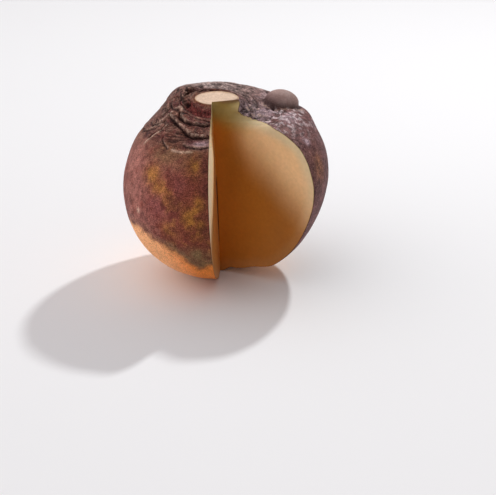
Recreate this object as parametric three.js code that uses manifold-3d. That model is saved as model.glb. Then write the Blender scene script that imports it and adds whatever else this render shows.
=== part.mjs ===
// A swede (rutabaga) with a wide notch cut out of it, standing on a small flat at its root end.
// Millimetres, +Z up, the notch opens toward -Y, and the origin is the bottom centre of the box.
import * as THREE from 'three';
import { mergeVertices } from 'three/addons/utils/BufferGeometryUtils.js';
import Module from 'manifold-3d';

// Driving dimensions
const HEIGHT = 118;            // root flat to the highest part of the collar
const STUB_HEIGHT = 114;       // trimmed top of the crown stub
const FLAT_RADIUS = 14;        // root flat that the swede rests on
const BELLY_RADIUS = 64.7;
const BELLY_HEIGHT = 65;
const STUB_RADIUS = 14.6;      // leaf stub left in the middle of the crown
const SEGMENTS = 84;           // lathe steps round the body
const PROFILE_STEPS = 38;      // lathe steps from the root to the stub

// The notch: two knife cuts that meet on a crease, which leans as it climbs.
const CREASE_LEAN = -4.4;      // crease shift along X at the top
const LEFT_CUT = 266;          // direction of the left cut face, degrees from +X
const RIGHT_CUT = -29.5;       // direction of the right cut face
const STUB_TWIST = 46;         // the right cut swings back by this much across the stub
const TWIST_START = 105.5;     // height where that swing begins
const CUTTER_REACH = 130;
const CUTTER_MARGIN = 5;       // how far the cutter runs past the root and the stub
const TWIST_STEPS = 10;
const CUT_STOPS = [44, 36, 29, 22, 15, 8];   // points along the right cut, out from the crease
const CUT_BOW = 0.02;

// Crown: the stub stands off centre, and its collar of leaf scars is tilted.
const STUB_OFFSET = [3.0, 8.5];
const COLLAR_TILT = 6;
const COLLAR_TILT_DIRECTION = 130;
const BACK_RISE = 4;           // how much higher the collar meets the stub at the back
const BACK_DIRECTION = 120;

// The root end rises beside the right cut.
const ROOT_LIFT = 4.2;
const ROOT_LIFT_TURN = 50;

// The side bud: an egg sunk into the right shoulder.
const BUD_MIDDLE = [39.8, 20, 107];
const BUD_HALF_SIZES = [11.5, 9, 8.6];
const BUD_SLOPE = 14;

const degrees = THREE.MathUtils.degToRad;
const smooth = THREE.MathUtils.smoothstep;

// Outline from the root flat to the stub: radius, height, and how far the row belongs to the stub.
const outline = [
  [FLAT_RADIUS, 0, 0],
  [19.5, 1.4, 0],
  [25.5, 3.9, 0],
  [33.3, 8.2, 0],
  [42.5, 14.2, 0],
  [50.8, 22.6, 0],
  [57, 32.7, 0],
  [61.5, 44, 0],
  [64, 54.5, 0],
  [BELLY_RADIUS, BELLY_HEIGHT, 0],
  [63, 76, 0],
  [59.4, 85.7, 0],
  [54.3, 93.7, 0],
  [48.5, 100.3, 0],
  [42.3, 105.4, 0],
  [36, 108.6, 0],
  [30.5, 109.6, 0.15],
  [25.5, 109.4, 0.6],
  [21.5, 109, 1],
  [18.4, 110.2, 1],
  [16.4, 112, 1],
  [STUB_RADIUS, STUB_HEIGHT - 0.8, 1],
  [STUB_RADIUS - 0.8, STUB_HEIGHT, 1],
];

// Bulges and hollows: direction, radius and height of the middle, spread in degrees and in
// millimetres, and how far the skin moves out.
const bulges = [
  { direction: -25, radius: 52, height: 98, turn: 34, spread: 14, out: 2.4 },
  { direction: -15, radius: 25, height: 109.5, turn: 45, spread: 6, out: -2.6 },
  { direction: 80, radius: 38, height: 108, turn: 50, spread: 12, out: 1.6 },
  { direction: 131, radius: 38, height: 108, turn: 24, spread: 9, out: 2.6 },
  { direction: 172, radius: 50, height: 100, turn: 30, spread: 10, out: -4 },
  { direction: 18, radius: 47, height: 102, turn: 13, spread: 7, out: 2.6 },
];

// Leaf scars on the left half of the collar: ledges that step down away from the stub.
const scars = [
  { radius: 24, height: 110, direction: 232, turn: 55, out: 1.3 },
  { radius: 31, height: 110, direction: 222, turn: 50, out: -1.4 },
  { radius: 38, height: 108, direction: 226, turn: 45, out: 1.2 },
  { radius: 45, height: 104, direction: 228, turn: 40, out: -1.2 },
  { radius: 50, height: 99, direction: 232, turn: 35, out: 1.0 },
];
const SCAR_SPREAD = 3;

function bodyCentre(height) {
  const k = height / HEIGHT;
  return [3.2 * k + 8.3 * k * k, 3 - 10 * k + 16 * k * k];
}

function creaseX(height) {
  return CREASE_LEAN * height / HEIGHT;
}

function turnBetween(a, b) {
  return THREE.MathUtils.euclideanModulo(a - b + 180, 360) - 180;
}

function bump(feature, spread, direction, radius, height) {
  const turn = turnBetween(direction, feature.direction) / feature.turn;
  const away = Math.hypot(radius - feature.radius, height - feature.height) / spread;
  return feature.out * Math.exp(-turn * turn - away * away);
}

// The rows of the lathe: a smooth curve through the outline, and its outward slope at each row.
function profileRows() {
  const curve = new THREE.CatmullRomCurve3(
    outline.map(([r, z, crown]) => new THREE.Vector3(r, z, crown * 10)), false, 'centripetal');
  const rows = curve.getSpacedPoints(PROFILE_STEPS).map((p, i) => {
    const tangent = curve.getTangentAt(i / PROFILE_STEPS);
    const length = Math.hypot(tangent.x, tangent.y);
    return {
      radius: p.x,
      height: Math.max(p.y, 0),
      crown: THREE.MathUtils.clamp(p.z / 10, 0, 1),
      outR: tangent.y / length,
      outZ: -tangent.x / length,
    };
  });
  const first = rows[0];
  const last = rows[rows.length - 1];
  rows.unshift({ ...first, radius: 0, outR: 0, outZ: 0 });
  rows.push({ ...last, radius: 0, height: STUB_HEIGHT + 0.4, outR: 0, outZ: 0 });
  first.outR = 0;
  first.outZ = 0;
  return rows;
}

function skinPoint(row, direction) {
  const angle = degrees(direction);
  const [bodyX, bodyY] = bodyCentre(row.height);
  const centreX = THREE.MathUtils.lerp(bodyX, creaseX(row.height) + STUB_OFFSET[0], row.crown);
  const centreY = THREE.MathUtils.lerp(bodyY, STUB_OFFSET[1], row.crown);
  let out = 0;
  for (const bulge of bulges) out += bump(bulge, bulge.spread, direction, row.radius, row.height);
  for (const scar of scars) out += bump(scar, SCAR_SPREAD, direction, row.radius, row.height);
  const tilt = COLLAR_TILT * smooth(row.height, 62, 104) * (1 - row.crown)
    * Math.cos(angle - degrees(COLLAR_TILT_DIRECTION));
  const besideStub = smooth(row.radius, STUB_RADIUS, 17) * (1 - smooth(row.radius, 21, 30))
    * smooth(row.height, 104, 108);
  const behind = Math.max(Math.cos(angle - degrees(BACK_DIRECTION)) + 0.2, 0) / 1.2;
  const reach = row.radius + out * row.outR;
  const x = centreX + reach * Math.cos(angle);
  const y = centreY + reach * Math.sin(angle);
  const z = row.height + tilt + BACK_RISE * besideStub * behind + out * row.outZ;
  return new THREE.Vector3(x, y, z + rootLift(x, y, row.height));
}

// How far the root end rises: most along the right cut, and not at all at the crease's foot.
function rootLift(x, y, height) {
  const fromCrease = Math.hypot(x - creaseX(height), y);
  const direction = THREE.MathUtils.radToDeg(Math.atan2(y, x - creaseX(height)));
  const turn = turnBetween(direction, RIGHT_CUT) / ROOT_LIFT_TURN;
  return ROOT_LIFT * Math.exp(-turn * turn) * smooth(fromCrease, 0, 9) * (1 - smooth(height, 2, 12));
}

// A lathe of the rows, with every vertex then moved to its place on the uneven skin.
function bodyGeometry() {
  const rows = profileRows();
  const lathe = new THREE.LatheGeometry(
    rows.map((row) => new THREE.Vector2(row.radius, row.height)), SEGMENTS);
  const position = lathe.attributes.position;
  for (let i = 0; i < position.count; i += 1) {
    const segment = Math.floor(i / rows.length);
    const row = rows[i % rows.length];
    const direction = (segment % SEGMENTS) * 360 / SEGMENTS;
    const point = skinPoint(row, direction);
    position.setXYZ(i, point.x, point.y, point.z);
  }
  return lathe;
}

// The heights of the cutter's layers: few below the stub, close together where it twists.
function cutterHeights() {
  const heights = [-CUTTER_MARGIN];
  for (let i = 0; i <= TWIST_STEPS; i += 1) {
    heights.push(THREE.MathUtils.lerp(TWIST_START, STUB_HEIGHT, i / TWIST_STEPS));
  }
  heights.push(HEIGHT + CUTTER_MARGIN);
  return heights;
}

// A tall three-cornered prism, sheared to follow the crease; its right side swings at the stub.
function notchGeometry() {
  const corner = (direction) => new THREE.Vector2(
    CUTTER_REACH * Math.cos(degrees(direction)), CUTTER_REACH * Math.sin(degrees(direction)));
  const along = corner(RIGHT_CUT).normalize();
  const stops = CUT_STOPS.map((far) => new THREE.Vector2(
    far * along.x - CUT_BOW * along.y, far * along.y + CUT_BOW * along.x));
  const shape = new THREE.Shape(
    [new THREE.Vector2(0, 0), corner(LEFT_CUT), corner(RIGHT_CUT), ...stops]);
  const heights = cutterHeights();
  const layers = heights.length - 1;
  const prism = new THREE.ExtrudeGeometry(
    shape, { depth: layers, steps: layers, bevelEnabled: false });
  const position = prism.attributes.position;
  const upright = new THREE.Vector3(0, 0, 1);
  for (let i = 0; i < position.count; i += 1) {
    const z = heights[Math.round(position.getZ(i))];
    const place = new THREE.Vector3(position.getX(i), position.getY(i), 0);
    if (place.x > 1) {
      place.applyAxisAngle(upright, degrees(STUB_TWIST) * smooth(z, TWIST_START, STUB_HEIGHT));
    }
    position.setXYZ(i, place.x + creaseX(z), place.y, z);
  }
  return prism;
}

function budGeometry() {
  const egg = new THREE.SphereGeometry(1, 28, 18);
  egg.scale(...BUD_HALF_SIZES);
  egg.rotateY(degrees(BUD_SLOPE));
  egg.translate(...BUD_MIDDLE);
  return egg;
}

const wasm = await Module();
wasm.setup();

function toSolid(geometry) {
  const bare = geometry.clone();
  bare.deleteAttribute('normal');
  bare.deleteAttribute('uv');
  const merged = mergeVertices(bare, 1e-4);
  return new wasm.Manifold(new wasm.Mesh({
    numProp: 3,
    vertProperties: new Float32Array(merged.attributes.position.array),
    triVerts: new Uint32Array(merged.index.array),
  }));
}

function toGeometry(solid) {
  const mesh = solid.getMesh();
  const geometry = new THREE.BufferGeometry();
  geometry.setAttribute('position', new THREE.BufferAttribute(new Float32Array(mesh.vertProperties), 3));
  geometry.setIndex(new THREE.BufferAttribute(new Uint32Array(mesh.triVerts), 1));
  geometry.computeVertexNormals();
  return geometry;
}

const whole = toSolid(bodyGeometry()).add(toSolid(budGeometry()));
const cutBody = toGeometry(whole.subtract(toSolid(notchGeometry())));
cutBody.computeBoundingBox();
const box = cutBody.boundingBox;
cutBody.translate(-(box.min.x + box.max.x) / 2, -(box.min.y + box.max.y) / 2, -box.min.z);

const skin = new THREE.MeshStandardMaterial({ color: 0x7a4a45, roughness: 0.6, metalness: 0 });
const swede = new THREE.Mesh(cutBody, skin);
swede.name = 'rutabaga';

const object = new THREE.Group();
object.add(swede);

export default object;
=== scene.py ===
import itertools
import math

import bpy
import numpy as np
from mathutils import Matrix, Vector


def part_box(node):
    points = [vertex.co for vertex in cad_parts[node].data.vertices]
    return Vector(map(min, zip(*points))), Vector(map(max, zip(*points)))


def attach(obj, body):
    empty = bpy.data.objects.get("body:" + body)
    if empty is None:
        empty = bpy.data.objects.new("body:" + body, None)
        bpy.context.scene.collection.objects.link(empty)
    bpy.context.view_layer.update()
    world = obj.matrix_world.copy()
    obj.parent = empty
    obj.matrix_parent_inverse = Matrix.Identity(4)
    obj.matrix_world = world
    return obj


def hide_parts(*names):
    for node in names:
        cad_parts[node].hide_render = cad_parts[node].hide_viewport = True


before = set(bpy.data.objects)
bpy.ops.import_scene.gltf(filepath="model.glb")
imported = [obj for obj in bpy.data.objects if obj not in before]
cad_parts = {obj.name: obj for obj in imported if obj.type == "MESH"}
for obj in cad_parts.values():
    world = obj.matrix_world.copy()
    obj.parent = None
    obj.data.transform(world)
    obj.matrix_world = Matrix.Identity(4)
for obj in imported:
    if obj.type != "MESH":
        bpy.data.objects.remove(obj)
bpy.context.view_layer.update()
node_low, node_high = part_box("rutabaga")

# ---- Driving values ----
# Lengths are in millimetres and directions in degrees from +X, seen from above. The body is built
# with the notch's crease at the origin, then moved into the frame's box.
MM = 0.001
HEIGHT = 118.0
STUB_HEIGHT = 114.0
FLAT_RADIUS = 14.0
STUB_RADIUS = 14.6
CREASE_LEAN = -4.4
LEFT_CUT = 266.0
RIGHT_CUT = -29.5
STUB_TWIST = 30.0
NECK_TWIST = 16.0
STUB_OFFSET = (3.0, 8.5)
COLLAR_TILT = 6.0
COLLAR_TILT_DIRECTION = 130.0
BACK_RISE = 4.0
BACK_DIRECTION = 120.0
ROOT_LIFT = 4.2
ROOT_LIFT_TURN = 50.0

# How the rows' middles wander as they climb: constant, linear and square terms, over the height
BODY_X = (0, 3.2, 8.3)
BODY_Y = (3, -10, 16)

COLUMNS = 360
ROWS = 236
FLAT_ROWS = 8
TOP_ROWS = 16
FACE_COLUMNS = 24

# Radius, height and stub share of the outline's turning points, from the root flat upwards.
OUTLINE = [
    (FLAT_RADIUS, 0, 0), (19.5, 1.4, 0), (25.5, 3.9, 0), (33.3, 8.2, 0), (42.5, 14.2, 0),
    (50.8, 22.6, 0), (57, 32.7, 0), (61.5, 44, 0), (64, 54.5, 0), (64.7, 65, 0), (63, 76, 0),
    (59.4, 85.7, 0), (54.3, 93.7, 0), (48.5, 100.3, 0), (42.3, 105.4, 0), (36, 108.6, 0),
    (30.5, 109.6, 0.15), (25.5, 109.4, 0.6), (21.5, 109, 1), (18.4, 110.2, 1), (16.4, 112, 1),
    (STUB_RADIUS, STUB_HEIGHT - 0.8, 1), (STUB_RADIUS - 0.8, STUB_HEIGHT, 1),
]

# Direction, radius and height of the middle, spread in degrees and millimetres, and rise.
BULGES = [
    (-25, 52, 98, 34, 14, 2.4),
    (-15, 25, 109.5, 45, 6, -2.6),
    (80, 38, 108, 50, 12, 1.6),
    (131, 38, 108, 24, 9, 2.6),
    (172, 50, 100, 30, 10, -4.0),
    (18, 47, 102, 13, 7, 2.6),
]

# The side bud: an egg sunk into the right shoulder.
BUD_MIDDLE = (39.8, 20.0, 107.0)
BUD_HALF_SIZES = (11.5, 9.0, 8.6)
BUD_SLOPE = -14.0
BUD_LIFT = np.array((0.25, 0.2, 1))
BUD_SOFTENING = 3

# Everything on the crown is placed by its direction and distance from here.
CROWN_CENTRE = (-2.4, 8.5)

# Folds between old leaf scars: the line, then half-width, depth, and the height and paleness of
# the lip on the side nearer the stub. Lines that end past 266 or -29 run out into the notch.
FOLDS = [
    ([(140, 15), (160, 16), (177, 17.5), (190, 20.5), (200, 24), (206, 25.5)], 0.7, 1.3, 0.3, 0.3),
    ([(213, 26), (218, 27.5), (225, 30), (235, 31), (246, 31), (256, 29.5), (272, 27)],
     1.0, 2.6, 1.1, 1.0),
    ([(203, 29.5), (207, 31.5), (216, 32.5), (226, 34), (239, 37), (247, 39.5), (257, 40),
      (272, 39)], 1.25, 2.9, 1.3, 0.9),
    ([(189, 27), (192, 29.5), (190, 32), (184, 34)], 0.8, 1.6, 0.8, 0.9),
    ([(243, 45), (250, 46.5), (258, 47.3), (272, 46.5)], 0.7, 0.7, 1.0, 0.8),
    ([(221, 42), (225, 45.3), (229, 47.2), (235, 49)], 0.8, 1.1, 0.7, 0.7),
    ([(204, 46), (207.5, 42), (211, 39), (214, 36)], 0.9, 1.2, 0.2, 0.0),
    ([(182, 38), (190, 38.5), (198, 36), (206, 33.5)], 0.9, 1.1, 0.6, 0.6),
    ([(178, 46), (187, 44.5), (195, 41), (203, 38)], 0.8, 0.9, 0.5, 0.5),
    ([(60, 15.3), (80, 15.5), (100, 15.5), (120, 15.5), (140, 15.5)], 0.6, 1.0, 0.2, 0.2),
    ([(78, 28.5), (57, 29), (38, 28.5), (14, 27), (356, 25)], 0.7, 1.2, 0.3, 0.3),
    ([(80, 24), (57, 24.4), (40, 24), (22, 22.5), (8, 20.5)], 0.6, 1.0, 0.3, 0.3),
    ([(17, 33), (10, 34.6), (3, 35.2), (356, 37.5)], 1.4, 2.4, 0.3, 0.2),
    ([(32, 36), (22, 36), (12, 37.3), (5, 40.5), (0, 44.5), (2, 49), (6, 54)], 0.7, 1.6, 0.5, 0.6),
]

# Thin raised scars: the line, then half-width, height and paleness.
SCARS = [
    ([(207, 50), (209.5, 44), (213.5, 38.5), (217, 35)], 0.7, 0.7, 1.0),
    ([(187, 42), (197.5, 38), (207, 35)], 0.7, 0.6, 0.7),
    ([(236, 48.5), (241, 49.3), (248, 49.5), (255, 49.2)], 0.7, 0.4, 0.8),
    ([(203, 27), (210, 24.5), (217, 25)], 1.2, 0.5, 1.0),
    ([(24, 34.6), (14, 35.6), (6, 37.8)], 0.8, 0.6, 0.9),
    ([(192, 36), (201, 32), (207, 28.5)], 0.9, 0.5, 1.0),
]

# Pits in the rough patch beside the stub: direction, distance, radius and depth.
PITS = [
    (337, 19, 1.3, 1.6), (342, 23.7, 1.2, 1.4), (12, 22.7, 1.1, 1.2), (1, 33, 1.2, 1.6),
    (325, 28.5, 1.2, 1.2), (323, 35, 1.0, 1.0), (352, 18.5, 1.1, 1.4), (0, 21, 1.0, 1.3),
    (350, 23, 1.1, 1.5), (332, 25, 1.2, 1.4), (357, 26.5, 1.0, 1.2), (333, 30, 0.9, 1.0),
]

# The moat between the stub and the first fold, on the left of the notch.
MOAT = [(196, 18), (207, 19), (218, 19.8), (232, 20), (248, 20.2), (272, 20.5)]
MOAT_HALF_WIDTH = 2.4
MOAT_DEPTH = 2.2

# The pitted patch beside the stub and the smooth lilac one beyond it, whose lilac is partly painted
# # sheen: direction and distance of the middle, and size in degrees and millimetres.
PITTED_PATCH = (342, 24, 26, 8)
LILAC_PATCH = (355, 32, 15, 5)

# The cut faces. The left one swells into the notch (a negative bend), which turns its outer strip
# toward the front. NECK_EASING is how many times the rim's wiggles are smoothed for its inside.
STRIP_WIDTH = 4.5
LEFT_BEND = -2.6
NECK_EASING = 120

RANDOM_SEED = 7


def smooth(low, high, value):
    """A soft step: 0 at low and 1 at high, whichever of them is the greater."""
    t = np.clip((value - low) / (high - low), 0, 1)
    return t * t * (3 - 2 * t)


def mix(a, b, share):
    """Blends two colours; share has no colour axis."""
    share = np.asarray(share)[..., None]
    return np.asarray(a) * (1 - share) + np.asarray(b) * share


def turn_between(a, b):
    """How far direction a lies round from direction b, from -180 to 180 degrees."""
    return (a - b + 180) % 360 - 180


def hill(value, middle, half_width):
    """A rounded peak of height 1 at the middle."""
    return np.exp(-((value - middle) / half_width) ** 2)


def spot(direction, place, where, middle, wide, long):
    """A soft patch, 1 at its middle, sized in degrees round and in millimetres out or up."""
    return np.exp(-(turn_between(direction, where) / wide) ** 2 - ((place - middle) / long) ** 2)


# ---- Repeatable noise on points in millimetres ----
def lattice(ix, iy, iz, seed):
    """A fixed pseudo-random number from 0 to 1 for each whole-number corner."""
    h = (ix * 374761393 + iy * 668265263 + iz * 2147483647 + seed * 1274126177) & 0xFFFFFFFF
    h = ((h ^ (h >> 13)) * 1274126177) & 0xFFFFFFFF
    h = ((h ^ (h >> 16)) * 2246822519) & 0xFFFFFFFF
    return ((h ^ (h >> 15)) & 0xFFFFFF) / float(0xFFFFFF)


def noise(points, size, seed=0):
    """Smooth value noise from -1 to 1 with features about size across."""
    p = points / size
    base = np.floor(p).astype(np.int64)
    f = p - base
    f = f * f * (3 - 2 * f)
    total = 0.0
    for corner in itertools.product((0, 1), repeat=3):
        weight = np.where(corner, f, 1 - f).prod(-1)
        total = total + weight * lattice(*np.moveaxis(base + corner, -1, 0), seed)
    return total * 2 - 1


def layered_noise(points, size, octaves, seed=0):
    """Noise from -1 to 1 with finer and fainter layers on top, each half the one before."""
    total, weight, scale = 0.0, 1.0, 0.0
    for k in range(octaves):
        total = total + weight * noise(points, size / 2 ** k, seed + k)
        scale += weight
        weight *= 0.5
    return total / scale


# ---- The smooth skin: columns are directions, rows climb from the root flat to the stub's top ----
def catmull_rom(points, per_span):
    """A centripetal curve through the points."""
    points = np.asarray(points, float)
    ends = np.vstack([2 * points[0] - points[1], points, 2 * points[-1] - points[-2]])
    out = []
    for i in range(1, len(ends) - 2):
        p0, p1, p2, p3 = ends[i - 1:i + 3]
        t1 = np.linalg.norm(p1 - p0) ** 0.5
        t2 = t1 + np.linalg.norm(p2 - p1) ** 0.5
        t3 = t2 + np.linalg.norm(p3 - p2) ** 0.5
        t = np.linspace(t1, t2, per_span, endpoint=False)[:, None]
        a1 = (t1 - t) / t1 * p0 + t / t1 * p1
        a2 = (t2 - t) / (t2 - t1) * p1 + (t - t1) / (t2 - t1) * p2
        a3 = (t3 - t) / (t3 - t2) * p2 + (t - t2) / (t3 - t2) * p3
        b1 = (t2 - t) / t2 * a1 + t / t2 * a2
        b2 = (t3 - t) / (t3 - t1) * a2 + (t - t1) / (t3 - t1) * a3
        out.append((t2 - t) / (t2 - t1) * b1 + (t - t1) / (t2 - t1) * b2)
    out.append(points[-1:])
    return np.vstack(out)


def profile_rows():
    """Each row's radius, height and stub share. The first and last rows are the middles of the
    root flat and of the stub's top; cap says how far out on them a row is."""
    curve = catmull_rom([(r, z, crown * 10) for r, z, crown in OUTLINE], 40)
    step = np.hypot(*np.diff(curve[:, :2], axis=0).T)
    density = 1 + 0.5 * smooth(80, 95, curve[:-1, 1]) + 0.9 * smooth(95, 104, curve[:-1, 1])
    along = np.r_[0, np.cumsum(step * density)]
    skin_rows = ROWS - FLAT_ROWS - TOP_ROWS
    at = np.linspace(0, along[-1], skin_rows)
    rows = np.stack([np.interp(at, along, curve[:, k]) for k in range(3)], 1)
    rows[:, 2] = np.clip(rows[:, 2] / 10, 0, 1)
    rows[:, 1] = np.maximum(rows[:, 1], 0)
    caps = np.ones(ROWS)
    caps[:FLAT_ROWS] = np.linspace(0, 1, FLAT_ROWS, endpoint=False)
    caps[-TOP_ROWS:] = np.linspace(1, 0, TOP_ROWS + 1)[1:]
    full = np.vstack([np.repeat(rows[:1], FLAT_ROWS, 0), rows, np.repeat(rows[-1:], TOP_ROWS, 0)])
    return full[:, 0], full[:, 1], full[:, 2], caps


def crease_x(height):
    return CREASE_LEAN * height / HEIGHT


def raise_bud(points):
    """Lifts the points inside the egg until they lie on it. Gives how far each one rose, and how
    far the others are from the egg."""
    slope = math.radians(BUD_SLOPE)
    axes = np.array([
        (math.cos(slope), 0, math.sin(slope)), (0, 1, 0), (-math.sin(slope), 0, math.cos(slope))])
    scaled = axes / np.array(BUD_HALF_SIZES)[:, None]
    inside = (points - BUD_MIDDLE) @ scaled.T
    lift = scaled @ BUD_LIFT
    b = inside @ lift
    c = (inside ** 2).sum(-1) - 1
    a = lift @ lift
    rise = np.where(c < 0, (-b + np.sqrt(np.maximum(b * b - a * c, 0))) / a, 0)
    for _ in range(BUD_SOFTENING):
        around = np.pad(rise, 1, mode="edge")
        rise = (2 * rise + around[2:, 1:-1] + around[:-2, 1:-1]
                + around[1:-1, 2:] + around[1:-1, :-2]) / 6
    gap = (np.sqrt(c + 1) - 1) * BUD_HALF_SIZES[1]
    return points + rise[..., None] * BUD_LIFT, rise, gap


def skin_grid():
    """The skin's points by column and row, and each row's place on the two flat ends."""
    radius, height, crown, caps = profile_rows()
    k = height / HEIGHT
    body_x, body_y = (start + slope * k + bend * k * k for start, slope, bend in (BODY_X, BODY_Y))
    centre_x = body_x + (crease_x(height) + STUB_OFFSET[0] - body_x) * crown
    centre_y = body_y + (STUB_OFFSET[1] - body_y) * crown

    swing = STUB_TWIST * (1 - smooth(14, 19, radius)) + NECK_TWIST * (1 - smooth(20, 38, radius))
    swing = swing * smooth(95, 105, height)
    share = np.linspace(0, 1, COLUMNS)[:, None]
    direction = (RIGHT_CUT + swing)[None, :] * (1 - share) + LEFT_CUT * share
    angle = np.radians(direction)
    cos, sin = np.cos(angle), np.sin(angle)

    # From the crease outwards to the row's own circle, which is centred elsewhere
    dx, dy = (centre_x - crease_x(height))[None, :], centre_y[None, :]
    toward = cos * dx + sin * dy
    inside = toward ** 2 - dx ** 2 - dy ** 2 + radius[None, :] ** 2
    reach = (toward + np.sqrt(np.maximum(inside, 0))) * caps[None, :]
    tilt = (COLLAR_TILT * smooth(62, 104, height) * (1 - crown))[None, :] * np.cos(
        angle - math.radians(COLLAR_TILT_DIRECTION))
    back = np.maximum(np.cos(angle - math.radians(BACK_DIRECTION)) + 0.2, 0) / 1.2
    fill = smooth(STUB_RADIUS, 17, radius) * (1 - smooth(21, 30, radius))
    fill = fill * smooth(104, 108, height)
    z = height[None, :] + tilt + BACK_RISE * fill[None, :] * back
    lift = np.exp(-(turn_between(direction, RIGHT_CUT) / ROOT_LIFT_TURN) ** 2)
    z = z + ROOT_LIFT * lift * smooth(0, 9, reach) * (1 - smooth(2, 12, height))[None, :]

    # Outward slope of each row in its upright plane
    slope_r, slope_z = np.gradient(radius), np.gradient(height)
    length = np.maximum(np.hypot(slope_r, slope_z), 1e-6)
    out_r, out_z = slope_z / length, -slope_r / length
    out_r[caps < 1], out_z[caps < 1] = 0, 0

    rise = np.zeros_like(z)
    for where, r, h, turn, spread, amount in BULGES:
        away = np.hypot(radius - r, height - h)[None, :] / spread
        rise += amount * np.exp(-(turn_between(direction, where) / turn) ** 2 - away ** 2)
    reach = reach + rise * out_r[None, :]
    z = z + rise * out_z[None, :]

    points = np.stack([crease_x(z) + reach * cos, reach * sin, z], -1)
    points[:, 0] = (0, 0, 0)
    points[:, -1] = (crease_x(STUB_HEIGHT), 0, STUB_HEIGHT)
    upper = (height > 90) & (caps == 1)
    on_bud, bud_gap = np.zeros_like(z), np.full_like(z, 99.0)
    points[:, upper], on_bud[:, upper], bud_gap[:, upper] = raise_bud(points[:, upper])
    return points, caps, direction, on_bud, bud_gap


def skin_normals(points):
    along, up = np.gradient(points, axis=0), np.gradient(points, axis=1)
    normal = np.cross(along, up)
    return normal / np.maximum(np.linalg.norm(normal, axis=-1, keepdims=True), 1e-9)


# ---- Relief of the skin: folds, scars, pits and wrinkles ----
def crown_place(points):
    """Direction and distance from the middle of the crown."""
    dx, dy = points[..., 0] - CROWN_CENTRE[0], points[..., 1] - CROWN_CENTRE[1]
    return np.degrees(np.arctan2(dy, dx)) % 360, np.hypot(dx, dy)


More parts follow.
